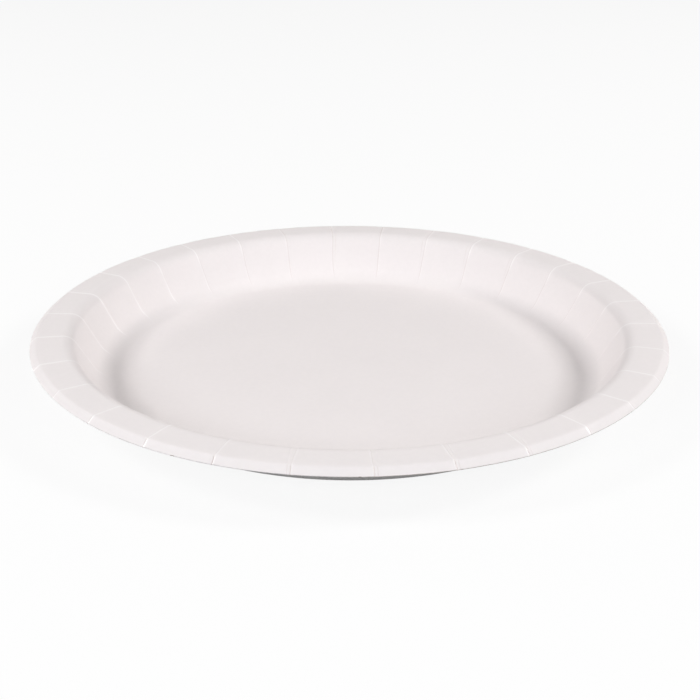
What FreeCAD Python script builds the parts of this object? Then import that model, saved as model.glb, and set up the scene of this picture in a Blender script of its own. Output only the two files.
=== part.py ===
import FreeCAD, Part
import math
import os

# One round disposable plate, pressed from a single sheet of coated paperboard.
# Millimetres, +Z up, the underside of the floor on z = 0, the middle of the plate on the Z axis.

# The sheet
board_thickness = 0.45
plate_radius = 115.0
rim_height = 18.85

# The section: a flat floor, a steep wall, a level flange and a lip creased down
flange_width = 8.85
wall_angle = 60.5
lip_angle = 41.0
lip_length = 3.05

# The two round bends of the section, each measured on its hollow side
floor_bend_radius = 9.2
crown_bend_radius = 5.05

# The pleats, where the gathered board is tucked in, from the foot of the wall to the rim
pleat_count = 30
pleat_depth = 0.25
pleat_rim_width = 1.2
first_pleat_angle = -86.0
tuck_facets = 3

os.makedirs("parts", exist_ok=True)

z_axis = FreeCAD.Vector(0.0, 0.0, 1.0)
middle = FreeCAD.Vector(0.0, 0.0, 0.0)
wall = math.radians(wall_angle)
lip = math.radians(lip_angle)

# Bend radii on the upper face, where the crown gains the board's thickness
floor_upper = floor_bend_radius
crown_upper = crown_bend_radius + board_thickness

# Heights of the bends' middles and of the straight wall between them
floor_bend_z = board_thickness + floor_upper
wall_foot_z = floor_bend_z - floor_upper * math.cos(wall)
crown_bend_z = rim_height - crown_upper
wall_top_z = crown_bend_z + crown_upper * math.cos(wall)
rim_edge_z = rim_height - lip_length * math.sin(lip)

# Radii of the same points, worked out inwards from the rim
crease_r = plate_radius - lip_length * math.cos(lip)
crown_bend_r = crease_r - flange_width
wall_top_r = crown_bend_r - crown_upper * math.sin(wall)
wall_foot_r = wall_top_r - (wall_top_z - wall_foot_z) / math.tan(wall)
floor_bend_r = wall_foot_r - floor_upper * math.sin(wall)

# Turn from one pleat to the next, and the turn that one pleat takes up
pleat_pitch = 360.0 / pleat_count
pleat_turn = math.degrees(pleat_rim_width / plate_radius)


def on_bend(centre_r, centre_z, radius, angle):
    """Point on a bend, the angle turned from straight down towards the rim."""
    r = centre_r + radius * math.sin(angle)
    z = centre_z - radius * math.cos(angle)
    return FreeCAD.Vector(r, 0.0, z)


def arc(centre_r, centre_z, radius, start, end):
    """Arc of a bend from one angle to another."""
    a = on_bend(centre_r, centre_z, radius, start)
    b = on_bend(centre_r, centre_z, radius, (start + end) / 2.0)
    c = on_bend(centre_r, centre_z, radius, end)
    return Part.Arc(a, b, c).toShape()


def straight_lines(points):
    """Straight edges from each point to the next."""
    return [Part.LineSegment(a, b).toShape() for a, b in zip(points, points[1:])]


def crown_points(low, count):
    """Points along the crown bend at a depth below the upper face, from wall to flange."""
    points = []
    for step in range(count + 1):
        angle = math.pi + wall * (count - step) / count
        points.append(on_bend(crown_bend_r, crown_bend_z, crown_upper - low, angle))
    return points


def lip_points(low):
    """The crease at the lip and the rim's edge at a depth below the upper face."""
    crease = FreeCAD.Vector(crease_r - low * math.tan(lip / 2.0), 0.0, rim_height - low)
    edge_r = plate_radius - low * math.sin(lip)
    edge = FreeCAD.Vector(edge_r, 0.0, rim_edge_z - low * math.cos(lip))
    return [crease, edge]


def dish_line(depth):
    """Floor and floor bend at a depth below the upper face, from the middle to the wall."""
    inner = FreeCAD.Vector(0.0, 0.0, board_thickness - depth)
    bend = arc(floor_bend_r, floor_bend_z, floor_upper + depth, 0.0, wall)
    return straight_lines([inner, bend.Vertexes[0].Point]) + [bend]


def rim_line(depth):
    """Wall, round crown, flange and lip at a depth below the upper face."""
    foot = on_bend(floor_bend_r, floor_bend_z, floor_upper + depth, wall)
    crown = arc(crown_bend_r, crown_bend_z, crown_upper - depth, math.pi + wall, math.pi)
    wall_line = straight_lines([foot, crown.Vertexes[0].Point])
    outer_lines = straight_lines([crown.Vertexes[-1].Point] + lip_points(depth))
    return wall_line + [crown] + outer_lines


def tuck_line(depth):
    """The same stretch in a tuck: pressed in facets, and lower by the pleat's depth above the foot."""
    foot = on_bend(floor_bend_r, floor_bend_z, floor_upper + depth, wall)
    low = depth + pleat_depth
    return straight_lines([foot] + crown_points(low, tuck_facets) + lip_points(low))


def turned_board(line, turn):
    """Board between its upper and lower lines, turned through an angle about the plate's axis."""
    upper = line(0.0)
    lower = line(board_thickness)
    start = straight_lines([lower[0].Vertexes[0].Point, upper[0].Vertexes[0].Point])
    end = straight_lines([upper[-1].Vertexes[-1].Point, lower[-1].Vertexes[-1].Point])
    outline = Part.Wire(Part.__sortEdges__(start + end + upper + lower))
    return Part.Face(outline).revolve(middle, z_axis, turn)


# The floor with its bend, one plain stretch of rim, and one tuck of the same board standing lower
dish = turned_board(dish_line, 360.0)
plain_stretch = turned_board(rim_line, pleat_pitch - pleat_turn)
tuck = turned_board(tuck_line, pleat_turn)

# Stretches and tucks take turns around the rim, each tuck centred on its pleat's angle
rim_pieces = []
for number in range(pleat_count):
    tuck_start = first_pleat_angle + number * pleat_pitch - pleat_turn / 2.0
    one_tuck = tuck.copy()
    one_tuck.rotate(middle, z_axis, tuck_start)
    rim_pieces.append(one_tuck)
    one_stretch = plain_stretch.copy()
    one_stretch.rotate(middle, z_axis, tuck_start + pleat_turn)
    rim_pieces.append(one_stretch)

plate = dish.fuse(rim_pieces).removeSplitter().Solids[0]
plate.exportStep("parts/plate.step")
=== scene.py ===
import bpy
import math
import numpy as np
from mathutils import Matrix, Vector


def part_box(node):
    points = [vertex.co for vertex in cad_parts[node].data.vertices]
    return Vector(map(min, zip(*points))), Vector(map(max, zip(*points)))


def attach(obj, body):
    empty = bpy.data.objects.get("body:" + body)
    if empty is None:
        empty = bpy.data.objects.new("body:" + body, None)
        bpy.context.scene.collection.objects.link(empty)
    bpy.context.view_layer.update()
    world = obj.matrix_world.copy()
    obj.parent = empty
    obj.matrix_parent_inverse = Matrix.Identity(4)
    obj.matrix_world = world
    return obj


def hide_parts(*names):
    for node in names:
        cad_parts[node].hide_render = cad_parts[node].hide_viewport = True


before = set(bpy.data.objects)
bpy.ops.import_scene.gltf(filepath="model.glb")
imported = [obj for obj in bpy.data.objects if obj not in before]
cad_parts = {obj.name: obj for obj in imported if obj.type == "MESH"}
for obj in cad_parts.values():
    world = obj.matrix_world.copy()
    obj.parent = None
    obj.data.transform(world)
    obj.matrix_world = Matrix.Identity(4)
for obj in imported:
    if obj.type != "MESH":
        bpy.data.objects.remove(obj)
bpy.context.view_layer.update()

# The plate: one round sheet of paperboard, clay coated white on its upper face, pressed hot between
# two dies. Its blank is creased along the rim first, so that the board the dies gather there goes
# into thirty narrow pleats, which run from the foot of the wall over crown and flange to the lip.
_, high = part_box("plate")
rim_radius = max(high.x, high.y)
board = 0.00045
fold_height = 0.00010
rim_height = high.z - fold_height

# Section of the upper face: flat floor, round bend, straight wall, round crown, flange and lip
wall_angle = math.radians(60.5)
lip_angle = math.radians(41.0)
floor_bend = 0.0092
crown_bend = 0.0055
lip_bend = 0.0016
flange_width = 0.0082
lip_length = 0.0025
edge_round = 0.00012

# Rows of the mesh along each stretch of the section; those of the floor crowd towards its bend
floor_rows = 5
bend_rows = 12
wall_rows = 8
crown_rows = 9
flange_rows = 6
lip_bend_rows = 4
lip_rows = 3
edge_rows = 4
floor_ease = 0.5

# The pleats: their pitch, the creased blank's own place under the dies, and how unevenly it was
# creased. Between two distances inwards of the wall's foot a crease hooks sideways.
pleat_count = 30
first_pleat = math.radians(-86.0)
blank_shift_x, blank_shift_y = -0.00085, 0.00018
crease_jitter = math.radians(0.13)
crease_wander = 0.00015
hook_reach, hook_start, hook_end = 0.0012, -0.001, 0.0035
crease_seed = 21145
strength_range = (0.7, 1.0)
spread_range = (0.4, 1.0)
turns_range = (0.5, 1.3)

# One pleat, across it: the slit, the pressed fold standing up on one side of it, the tucked board
# lying lower on the other side, and the hollow both pull into the sheet
slit_depth, slit_half = 0.00012, 0.00010
fold_half, fold_offset = 0.00031, 0.00036
drop_depth, drop_reach = 0.00008, 0.0015
pull_depth, pull_reach = 0.00005, 0.0026
tuck_half = 0.4 * slit_half

# One pleat, along it: it starts part way up the floor bend, and its fold comes to its full height
# about the start of the crown. A fold is lower on the wall, at the front and at the back. A slit is
# shallower on the flange, and wider at the front of the lip and the back of the flange.
start_share = 0.35
rise_before, rise_after = 0.006, 0.002
foot_reach = 0.0035
wall_fold, plain_fold = 0.35, 0.5
flange_closing = 0.5
lip_widening, back_widening = 0.9, 0.7

# A second, fainter crease beside some pleats, widest apart at the crown
split_pleats = (0, 1, 2, 11, 12, 13, 15, 29)
faint_split = 0.25
split_near, split_far = 0.0009, 0.0019
split_depth, split_half = 0.00007, 0.00016
split_closing = 0.8
# The second crease takes the lighter fold colour on top (partly painted highlight) and painted slit
# shade on the wall
split_mark = 0.4

# How far the dies rub a fold lighter, partly real burnish and partly painted highlight where the
# lamps make the folds shine: above the wall most at the two sides, and on the wall most at the
# left. A hard rub closes the slit beside it. The limits of sides, left, front and back are sines
# and cosines of a pleat's azimuth.
side_start, side_full = 0.15, 0.60
left_start, left_full = 0.5, 0.95
front_start, front_full = -0.05, 0.35
back_start, back_full = 0.7, 0.95
least_top_rub, least_wall_rub = 0.30, 0.20
mid_wall_rub, foot_rub = 0.5, 0.9
rub_highlight_gain = 1.6
widest_slit, rub_closing, least_slit = 0.85, 0.6, 0.2

# Columns of the mesh: close ones over the two creases of a pleat, in millimetres from each, and
# wider ones on each side of them, as shares of the room there
slit_columns = 1e-3 * np.array([
    -0.90, -0.68, -0.53, -0.41, -0.30, -0.20, -0.12, -0.05, 0.02, 0.09, 0.17, 0.30,
])
split_columns = 1e-3 * np.array([-0.30, -0.19, -0.09, 0.0, 0.09, 0.19, 0.30])
left_spread = np.array([0.22, 0.48, 0.72, 0.89])
right_spread = np.array([0.13, 0.32, 0.56, 0.80])


def section_rows():
    """Upper face of the section from the middle outwards: straight stretches and arcs laid end to
    end. Each row holds radius, height and the direction the face looks in. Beside the rows come
    each one's distance along the section, and the distances at which the stretches start."""
    sin_w, cos_w = math.sin(wall_angle), math.cos(wall_angle)
    sin_l, cos_l = math.sin(lip_angle), math.cos(lip_angle)
    lip_r = rim_radius - lip_length * cos_l - lip_bend * sin_l
    crown_r = lip_r - flange_width
    crown_z = rim_height - crown_bend
    top_r, top_z = crown_r - crown_bend * sin_w, crown_z + crown_bend * cos_w
    foot_z = board + floor_bend * (1.0 - cos_w)
    foot_r = top_r - (top_z - foot_z) / math.tan(wall_angle)
    floor_r = foot_r - floor_bend * sin_w

    def straight(start, end, look, count, ease=1.0):
        t = np.linspace(0.0, 1.0, count, endpoint=False)[:, None] ** ease
        points = (1.0 - t) * np.array(start) + t * np.array(end)
        return np.hstack([points, np.tile(look, (count, 1))])

    def bend(centre, radius, start, end, count):
        a = np.linspace(start, end, count, endpoint=False)
        look = np.stack([-np.sin(a), np.cos(a)], 1)
        return np.hstack([np.array(centre) + radius * look, look])

    lip_z = rim_height - lip_bend
    lip_start = (lip_r + lip_bend * sin_l, lip_z + lip_bend * cos_l)
    lip_end = (rim_radius, lip_start[1] - lip_length * sin_l)
    rows = np.vstack([
        straight((0.0, board), (floor_r, board), (0.0, 1.0), floor_rows, floor_ease),
        bend((floor_r, board + floor_bend), -floor_bend, 0.0, wall_angle, bend_rows),
        straight((foot_r, foot_z), (top_r, top_z), (-sin_w, cos_w), wall_rows),
        bend((crown_r, crown_z), crown_bend, wall_angle, 0.0, crown_rows),
        straight((crown_r, rim_height), (lip_r, rim_height), (0.0, 1.0), flange_rows),
        bend((lip_r, lip_z), lip_bend, 0.0, -lip_angle, lip_bend_rows),
        straight(lip_start, lip_end, (sin_l, cos_l), lip_rows),
        [[*lip_end, sin_l, cos_l]],
    ])
    step = np.hypot(np.diff(rows[:, 0]), np.diff(rows[:, 1]))
    along = np.concatenate([[0.0], np.cumsum(step)])
    stretches = [floor_rows, bend_rows, wall_rows, crown_rows, flange_rows, lip_bend_rows]
    return rows, along, along[np.cumsum(stretches)]


def ramp(x, start, end):
    """Smooth step from 0 at start to 1 at end: 3 t squared less 2 t cubed."""
    t = np.clip((x - start) / (end - start), 0.0, 1.0)
    return t * t * (3.0 - 2.0 * t)


def bell(x, half):
    """Bell curve of height 1, down to 1/e at a distance of half."""
    return np.exp(-(x / half) ** 2)


def rise(least, share):
    """Straight line from the least value at share 0 to 1 at share 1."""
    return least + (1.0 - least) * share


rows, along, (bend_at, wall_at, crown_at, flange_at, lip_bend_at, lip_at) = section_rows()
rim_at = along[-1]
station = along[:, None]
reach = np.maximum(rows[:, 0], rows[floor_rows, 0])[:, None]

# Where each pleat lies: even spacing, moved by the blank's shift and a small jitter
draw = np.random.default_rng(crease_seed)
even = first_pleat + 2.0 * math.pi / pleat_count * np.arange(pleat_count)
drift = (blank_shift_y * np.cos(even) - blank_shift_x * np.sin(even)) / rim_radius
pleat_at = even + drift + crease_jitter * draw.normal(0.0, 1.0, pleat_count)

# How each pleat differs: its strength, the second crease, the way it wanders, how far it is rubbed
# lighter (partly painted highlight), how far it is opened (with painted shade in the slit), and the
# side it is tucked to. In both halves the fold lies nearer the front.
strength = draw.uniform(*strength_range, pleat_count)
split = draw.uniform(0.0, faint_split, pleat_count)
split[list(split_pleats)] = 1.0
spread = draw.uniform(*spread_range, pleat_count)
wander_phase = draw.uniform(0.0, 2.0 * math.pi, pleat_count)
wander_turns = draw.uniform(*turns_range, pleat_count)
side = np.where(np.cos(even) < 0.0, -1.0, 1.0)
sideways = ramp(np.abs(np.cos(even)), side_start, side_full)
top_rub_highlight_level = rise(least_top_rub, sideways)
wall_rub_highlight_level = rise(least_wall_rub, ramp(-np.cos(even), left_start, left_full))
front_open = ramp(-np.sin(even), front_start, front_full)
back_open = ramp(np.sin(even), back_start, back_full)


def crease_lines():
    """Azimuth of each pleat's slit on each row and the distance from it to the second crease. It
    wanders in a sine along the section, and at the foot of the wall it hooks towards the back."""
    along_rim = (station - wall_at) / (rim_at - wall_at)
    wander = crease_wander * np.sin(2.0 * math.pi * wander_turns * along_rim + wander_phase)
    closing = 1.0 - split_closing * ramp(station, flange_at, lip_at)
    opening = ramp(station, wall_at, flange_at) * closing
    gap = split_near + (split_far - split_near) * spread * opening
    hook = hook_reach * side * wall_rub_highlight_level * ramp(wall_at - station, hook_start, hook_end)
    return pleat_at + (wander + hook) / reach, gap


def column_angles(centre, gap):
    """Azimuth of every column on every row: a close group over each slit and over its second
    crease, the rest shared out to the middle between neighbouring pleats. A pleat whose second
    crease lies on the other side has the same columns mirrored."""
    before = np.roll(pleat_at, 1) - np.array([2.0 * math.pi] + [0.0] * (pleat_count - 1))
    start = 0.5 * (before + pleat_at)
    end = np.concatenate([start[1:], [start[0] + 2.0 * math.pi]])
    room_before = np.where(side > 0, centre - start, end - centre)[:, :, None]
    room_after = np.where(side > 0, end - centre, centre - start)[:, :, None]
    slit = (slit_columns / reach)[:, None, :]
    slit = np.broadcast_to(slit, (*centre.shape, len(slit_columns)))
    second = (gap[:, :, None] + split_columns) / reach[:, :, None]
    between = 0.5 * (slit[:, :, -1:] + second[:, :, :1])
    first, last = slit[:, :, :1], second[:, :, -1:]
    outer_a = -room_before + (first + room_before) * left_spread
    outer_b = last + (room_after - last) * right_spread
    away = np.concatenate([outer_a, slit, between, second, outer_b], 2)
    turned = np.where(side[None, :, None] > 0, away, -away[:, :, ::-1])
    edge = np.broadcast_to(start[None, :, None], (*centre.shape, 1))
    return np.concatenate([edge, centre[:, :, None] + turned], 2)


def pleat_relief(across, gap):
    """How far the face stands off its section, in metres, and two marks, 0 to 1: how far it is
    burnished lighter, partly real burnish and partly painted highlight, and how much painted shade
    its open slits get. Across a pleat: a bell shaped slit, a bell shaped fold on one side of it,
    lower board on the other side up to a second, shallow bell, and a wide hollow. Each grows and
    fades along it with smooth steps."""
    def down_rows(values):
        return values[:, :, None]

    def over_pleats(values):
        return values[None, :, None]

    started = bend_at + start_share * (wall_at - bend_at)
    grown = down_rows(ramp(station, started, wall_at))
    full = down_rows(ramp(station, wall_at, flange_at))
    top = down_rows(ramp(station, crown_at - rise_before, crown_at + rise_after))
    lip = down_rows(ramp(station, lip_bend_at, lip_at))
    flat = down_rows(ramp(station, crown_at, flange_at)) * (1.0 - lip)
    foot = down_rows(bell(station - wall_at, foot_reach))
    hand, power = over_pleats(side), over_pleats(strength)
    wall_share = over_pleats(wall_rub_highlight_level)

    wide = np.maximum(lip * over_pleats(front_open), back_widening * flat * over_pleats(back_open))
    slit_line = bell(across, slit_half * (1.0 + lip_widening * wide)) * grown * power
    fold_line = bell(hand * across + fold_offset, fold_half) * grown * power
    second_line = bell(hand * across - down_rows(gap), split_half) * over_pleats(split) * full
    tucked = 1.0 / (1.0 + np.exp(-hand * across / tuck_half))
    fold_share = rise(wall_fold, top) * rise(plain_fold, over_pleats(sideways))
    slit_share = 1.0 - flange_closing * flat
    relief = (
        fold_height * fold_line * fold_share
        - slit_depth * slit_line * slit_share
        - drop_depth * full * tucked * np.exp(-np.abs(across) / drop_reach)
        - pull_depth * full * np.exp(-np.abs(across) / pull_reach)
        - split_depth * second_line
    )

    # Folds lighter: partly real burnish, partly painted highlight where the lamps make them shine
    top_rub_and_highlight = top * over_pleats(top_rub_highlight_level)
    wall_rub_and_highlight = np.clip(wall_share * (mid_wall_rub + foot_rub * foot), 0.0, 1.0)
    rub_and_highlight = rub_highlight_gain * fold_line * np.maximum(top_rub_and_highlight, wall_rub_and_highlight)
    burnish_and_highlight = rub_and_highlight + split_mark * second_line * top_rub_and_highlight
    # Painted shade in the open slits, and along the second crease on the wall
    wall_open = np.clip(widest_slit - rub_closing * wall_share, least_slit, 1.0) * slit_share
    painted_slit_shade_mask = slit_line * np.maximum(wall_open, wide) + split_mark * second_line * (1.0 - flat)
    return relief, np.clip(burnish_and_highlight, 0.0, 1.0), np.clip(painted_slit_shade_mask, 0.0, 1.0)


centre, gap = crease_lines()
angles = column_angles(centre, gap)
across = (angles - centre[:, :, None]) * reach[:, :, None]
relief, burnish_and_highlight, painted_slit_shade_mask = pleat_relief(across, gap)
row_count = len(rows)
angles, relief = angles.reshape(row_count, -1), relief.reshape(row_count, -1)
burnish_and_highlight, painted_slit_shade_mask = burnish_and_highlight.reshape(row_count, -1), painted_slit_shade_mask.reshape(row_count, -1)


def board_loop(upper):
    """Closed loop of the board: the upper face out to the lip, round the cut edge, and back along
    the lower face, one board's thickness behind. Also says which row of the section each is on."""
    slope = np.array([math.cos(lip_angle), -math.sin(lip_angle)])
    look, end = upper[-1, 2:4], upper[-1, :2]
    turn = np.linspace(0.0, math.pi / 2.0, edge_rows)[:, None]
    corner_a = end - edge_round * (slope + look)
    corner_b = end - edge_round * slope - (board - edge_round) * look
    round_a = corner_a + edge_round * (np.cos(turn) * look + np.sin(turn) * slope)
    round_b = corner_b + edge_round * (np.cos(turn) * slope - np.sin(turn) * look)
    inner = upper[:-1]
    lower = inner[::-1, :2] - board * inner[::-1, 2:4]
    points = np.vstack([inner[:, :2], round_a, round_b, lower])
    edge_looks = np.tile(look, (2 * edge_rows, 1))
    looks = np.vstack([inner[:, 2:4], edge_looks, inner[::-1, 2:4]])
    last = len(upper) - 1
    inner_rows, last_rows = np.arange(last), np.full(2 * edge_rows, last)
    return points, looks, np.concatenate([inner_rows, last_rows, inner_rows[::-1]])


loop, looks, part = board_loop(rows)
loop_rows, columns = len(loop), angles.shape[1]
azimuth, press = angles[part], relief[part]
r = loop[:, :1] + press * looks[:, :1]
z = loop[:, 1:] + press * looks[:, 1:]
grid = np.stack([r * np.cos(azimuth), r * np.sin(azimuth), z], 2)

# The two rows at the middle are single points, closed with fans
ring = grid[1:-1].reshape(-1, 3)
poles = np.array([[0.0, 0.0, board], [0.0, 0.0, 0.0]])
vertices = np.vstack([ring, poles])
index = np.arange(len(ring)).reshape(loop_rows - 2, columns)
following = np.roll(index, -1, 1)
quads = np.stack([index[:-1], index[1:], following[1:], following[:-1]], 2).reshape(-1, 4)
top_pole, bottom_pole = len(ring), len(ring) + 1
top_fan = np.stack([np.full(columns, top_pole), index[0], following[0]], 1)
bottom_fan = np.stack([np.full(columns, bottom_pole), following[-1], index[-1]], 1)
faces = quads.tolist() + top_fan.tolist() + bottom_fan.tolist()

plate_mesh = bpy.data.meshes.new("plate_sheet")
plate_mesh.from_pydata(vertices.tolist(), [], faces)
plate_mesh.polygons.foreach_set("use_smooth", np.ones(len(plate_mesh.polygons), bool))

# What the finish follows: folds burnished lighter, partly real burnish and partly painted
# highlight; open slits with painted shade; cut edge and underside
is_edge = np.zeros(loop_rows)
is_edge[row_count:row_count + 2 * edge_rows - 2] = 1.0
is_under = (np.arange(loop_rows) >= row_count + edge_rows).astype(float)
marks = {
    "burnish_and_highlight": burnish_and_highlight[part] * (1.0 - is_under)[:, None],
    "slit": painted_slit_shade_mask[part],
    "cut_edge": np.repeat(is_edge[:, None], columns, 1),
    "underside": np.repeat(is_under[:, None], columns, 1),
}
for name, values in marks.items():
    at_poles = [0.0, 1.0 if name == "underside" else 0.0]
    values = np.concatenate([values[1:-1].ravel(), at_poles]).astype(np.float32)
    plate_mesh.attributes.new(name, "FLOAT", "POINT").data.foreach_set("value", values)
plate_mesh.update()
plate = bpy.data.objects.new("plate_sheet", plate_mesh)
bpy.context.scene.collection.objects.link(plate)

# The finish: semi-matt white clay coating, very faintly pink, with the paper's fine cloudiness; its
# folds are burnished smoother and lighter, the lightening partly real and partly painted highlight;
# its slits get painted shade; its cut edge and underside show the raw fibre, and the cut edge also
# carries dark specks of painted shadow
coating = (0.920, 0.870, 0.867, 1.0)
burnish_highlight_colour = (1.0, 0.960, 0.956, 1.0)
# Painted shade for the open slits, darker than the raw board
slit_painted_shade = (0.60, 0.48, 0.45, 1.0)
raw_edge = (0.62, 0.56, 0.51, 1.0)
raw_back = (0.86, 0.835, 0.815, 1.0)
# Colour of the painted shadow specks on the cut edge
shadow_speck_colour = (0.20, 0.13, 0.09, 1.0)
slit_painted_shade_share = 0.6
coating_specular, burnish_specular = 0.35, 1.0
coating_roughness, burnish_roughness, raw_roughness = 0.60, 0.28, 0.85

# Its textures: scale, detail and the share of light taken away, the limits between which a patch
# of the cut edge is worn or carries a dark speck of painted shadow, and the height of the paper's
# tooth
cloud_scale, cloud_detail, cloud_share = 38.0, 1.0, 0.010
mottle_scale, mottle_detail, mottle_share = 620.0, 3.0, 0.016
fibre_scale, fibre_detail, fibre_share = 2600.0, 2.0, 0.22
noise_low, noise_high = 0.3, 0.7
worn_scale, worn_low, worn_high = 9.0, 0.45, 0.62
speck_scale, speck_low, speck_high = 240.0, 0.66, 0.70
patch_detail = 1.0
shadow_speck_edge_low, shadow_speck_edge_high = 0.55, 0.85
tooth_scale, tooth_detail, tooth_height = 1700.0, 2.0, 0.000004

board_material = bpy.data.materials.new("white_coated_board")
board_material.use_nodes = True
nodes, links = board_material.node_tree.nodes, board_material.node_tree.links
shader = nodes["Principled BSDF"]
place = nodes.new("ShaderNodeTexCoord").outputs["Object"]


def noise(scale, detail):
    """Noise from 0 to 1 on object coordinates, its features about one metre over scale wide."""
    texture = nodes.new("ShaderNodeTexNoise")
    texture.inputs["Scale"].default_value = scale
    texture.inputs["Detail"].default_value = detail
    links.new(place, texture.inputs["Vector"])
    return texture.outputs["Fac"]


def feed(socket, value):
    """Sets a socket to a number or colour, or links another socket to it."""
    if isinstance(value, (float, tuple)):
        socket.default_value = value
    else:
        links.new(value, socket)


def spread_over(value, low, high, to_low, to_high):
    """Straight line from low to high, carried over to the other two values and clamped there."""
    node = nodes.new("ShaderNodeMapRange")
    ends = {"Value": value, "From Min": low, "From Max": high, "To Min": to_low, "To Max": to_high}
    for name, end in ends.items():
        feed(node.inputs[name], end)
    return node.outputs["Result"]


def worked_out(kind, first, second):
    """Two values put together: their product or the larger of them, as the kind says."""
    node = nodes.new("ShaderNodeMath")
    node.operation = kind
    feed(node.inputs[0], first)
    feed(node.inputs[1], second)
    return node.outputs[0]


def blend(share, first, second, kind="MIX"):
    """Colour first, turned into colour second by the share."""
    node = nodes.new("ShaderNodeMix")
    node.data_type = "RGBA"
    node.blend_type = kind
    feed(node.inputs["Factor"], share)
    feed(node.inputs["A"], first)
    feed(node.inputs["B"], second)
    return node.outputs["Result"]


def mark(name):
    """One of the mesh's own marks, 0 to 1."""
    node = nodes.new("ShaderNodeAttribute")
    node.attribute_name = name
    return node.outputs["Fac"]


def light_kept(scale, detail, share):
    """What noise leaves of the light: all of it, less up to the share."""
    return spread_over(noise(scale, detail), noise_low, noise_high, 1.0 - share, 1.0)


def patches(scale, low, high):
    """Patches of 1 where noise is above high, and 0 where it is below low."""
    return spread_over(noise(scale, patch_detail), low, high, 0.0, 1.0)


cloudy = worked_out(
    "MULTIPLY",
    light_kept(cloud_scale, cloud_detail, cloud_share),
    light_kept(mottle_scale, mottle_detail, mottle_share),
)
fibrous = light_kept(fibre_scale, fibre_detail, fibre_share)
worn = worked_out("MULTIPLY", mark("cut_edge"), patches(worn_scale, worn_low, worn_high))
# Dark specks of painted shadow, a little way into the cut edge
well_inside = spread_over(mark("cut_edge"), shadow_speck_edge_low, shadow_speck_edge_high, 0.0, 1.0)
painted_shadow_specks = worked_out("MULTIPLY", patches(speck_scale, speck_low, speck_high), well_inside)
raw = spread_over(mark("underside"), 0.0, 1.0, mark("cut_edge"), 1.0)

# Folds lighter in colour: partly real burnish, partly painted highlight
colour = blend(mark("burnish_and_highlight"), coating, burnish_highlight_colour)
colour = blend(mark("underside"), colour, raw_back)
# Painted shade in the slits
colour = blend(worked_out("MULTIPLY", mark("slit"), slit_painted_shade_share), colour, slit_painted_shade)
colour = blend(worn, colour, raw_edge)
colour = blend(1.0, colour, cloudy, "MULTIPLY")
colour = blend(raw, colour, blend(1.0, colour, fibrous, "MULTIPLY"))
# Painted shadow: dark brown specks on the cut edge
colour = blend(painted_shadow_specks, colour, shadow_speck_colour)
links.new(colour, shader.inputs["Base Color"])

gloss = spread_over(mark("burnish_and_highlight"), 0.0, 1.0, coating_roughness, burnish_roughness)
links.new(spread_over(raw, 0.0, 1.0, gloss, raw_roughness), shader.inputs["Roughness"])
shine = spread_over(mark("burnish_and_highlight"), 0.0, 1.0, coating_specular, burnish_specular)
links.new(shine, shader.inputs["Specular IOR Level"])

tooth = nodes.new("ShaderNodeBump")
tooth.inputs["Distance"].default_value = tooth_height
links.new(noise(tooth_scale, tooth_detail), tooth.inputs["Height"])
links.new(tooth.outputs["Normal"], shader.inputs["Normal"])

plate_mesh.materials.append(board_material)

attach(plate, "root")
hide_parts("plate")

# The table top: plain and matt, wide enough to fill the view. It sends some light back up under the
# plate. Seen straight, in a gloss or through glass it is mostly its own plain white, and the rest
# of it is lit, so that the plate's soft shadow still shows on it.
floor_size = 6.0
floor_own_white = 0.90
floor_bounce = (0.62, 0.62, 0.62, 1.0)
floor_white = (0.98, 0.98, 0.98, 1.0)


def seen_directly():
    """1 for rays that see a background straight, in a gloss or through glass, 0 for the others."""
    ray = nodes.new("ShaderNodeLightPath").outputs
    straight = worked_out("MAXIMUM", ray["Is Camera Ray"], ray["Is Glossy Ray"])
    return worked_out("MAXIMUM", straight, ray["Is Transmission Ray"])


half = floor_size / 2.0
floor_corners = [(-half, -half, 0.0), (half, -half, 0.0), (half, half, 0.0), (-half, half, 0.0)]
floor_mesh = bpy.data.meshes.new("table_top")
floor_mesh.from_pydata(floor_corners, [], [(0, 1, 2, 3)])
floor = bpy.data.objects.new("table_top", floor_mesh)
bpy.context.scene.collection.objects.link(floor)

floor_material = bpy.data.materials.new("white_table_top")
floor_material.use_nodes = True
nodes, links = floor_material.node_tree.nodes, floor_material.node_tree.links
nodes.clear()
seen = seen_directly()
paint = nodes.new("ShaderNodeBsdfDiffuse")
links.new(blend(seen, floor_bounce, floor_white), paint.inputs["Color"])
own_white = nodes.new("ShaderNodeEmission")
mix = nodes.new("ShaderNodeMixShader")
links.new(worked_out("MULTIPLY", seen, floor_own_white), mix.inputs["Fac"])
links.new(paint.outputs[0], mix.inputs[1])
links.new(own_white.outputs[0], mix.inputs[2])
surface = nodes.new("ShaderNodeOutputMaterial")
links.new(mix.outputs[0], surface.inputs["Surface"])
floor_mesh.materials.append(floor_material)

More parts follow.
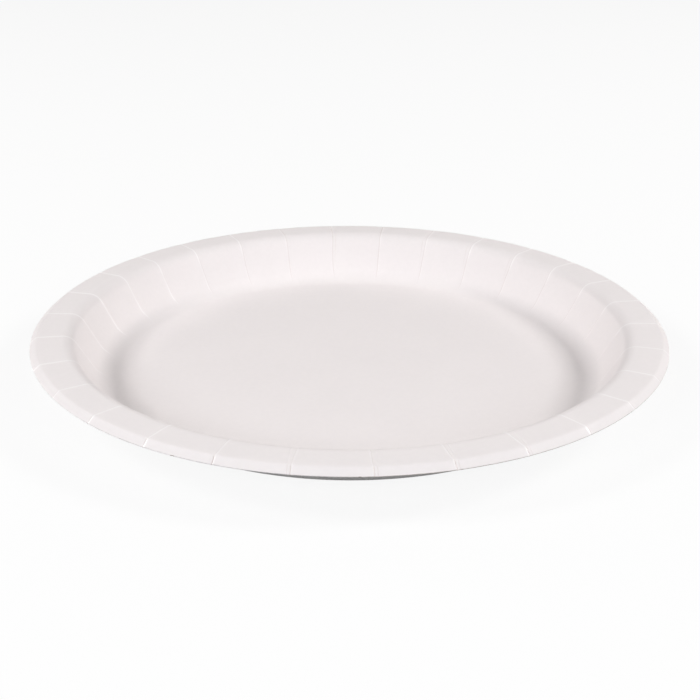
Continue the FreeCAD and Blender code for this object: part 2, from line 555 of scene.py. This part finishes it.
# Camera at the photograph's place: 0.455 m from the plate, 24 degrees above the table
camera_back = 0.4156
camera_height = 0.18550
camera_side = 0.00019
camera_pitch = math.radians(23.41)
camera_roll = math.radians(0.18)
focal_pixels = 1214.0
image_pixels = 700
sensor_width = 36.0
nearest_seen = 0.01
camera_data = bpy.data.cameras.new("camera")
camera_data.sensor_width = sensor_width
camera_data.lens = focal_pixels / image_pixels * sensor_width
camera_data.clip_start = nearest_seen
camera = bpy.data.objects.new("camera", camera_data)
camera.location = (camera_side, -camera_back, camera_height + board)
camera.rotation_mode = "ZYX"
camera.rotation_euler = (math.pi / 2.0 - camera_pitch, 0.0, camera_roll)
bpy.context.scene.collection.objects.link(camera)
bpy.context.scene.camera = camera

# Studio light: six soft square lamps round the plate, all aimed at its middle. Each has an azimuth
# and a height in degrees, the light it gives, and a tint. The background is plain white where seen.
lamp_distance = 1.3
lamp_size = 0.34
side_tint = (1.0, 0.992, 0.978)
front_tint = (0.93, 0.962, 1.0)
back_tint = (1.0, 0.955, 0.94)
lamps = {
    "lamp_right": (-3.9, 39.5, 1.58, side_tint),
    "lamp_left": (195.1, 41.3, 1.35, side_tint),
    "lamp_front_right": (-57.6, 24.7, 0.57, front_tint),
    "lamp_front_left": (-120.3, 27.8, 0.895, front_tint),
    "lamp_back_right": (37.8, 15.4, 0.41, back_tint),
    "lamp_back_left": (151.7, 17.5, 0.46, back_tint),
}
for name, (around, up, light_given, tint) in lamps.items():
    around, up = math.radians(around), math.radians(up)
    level = math.cos(up)
    toward = Vector((level * math.cos(around), level * math.sin(around), math.sin(up)))
    lamp_data = bpy.data.lights.new(name, "AREA")
    lamp_data.shape = "SQUARE"
    lamp_data.size = lamp_size
    lamp_data.energy = light_given * math.pi * lamp_distance ** 2
    lamp_data.color = tint
    lamp = bpy.data.objects.new(name, lamp_data)
    lamp.location = lamp_distance * toward
    lamp.rotation_euler = toward.to_track_quat("Z", "Y").to_euler()
    bpy.context.scene.collection.objects.link(lamp)

world = bpy.data.worlds.new("studio")
world.use_nodes = True
bpy.context.scene.world = world
nodes, links = world.node_tree.nodes, world.node_tree.links
backdrop = nodes["Background"]
backdrop.inputs["Color"].default_value = (1.0, 1.0, 1.0, 1.0)
links.new(seen_directly(), backdrop.inputs["Strength"])

bpy.context.scene.view_settings.view_transform = "Standard"
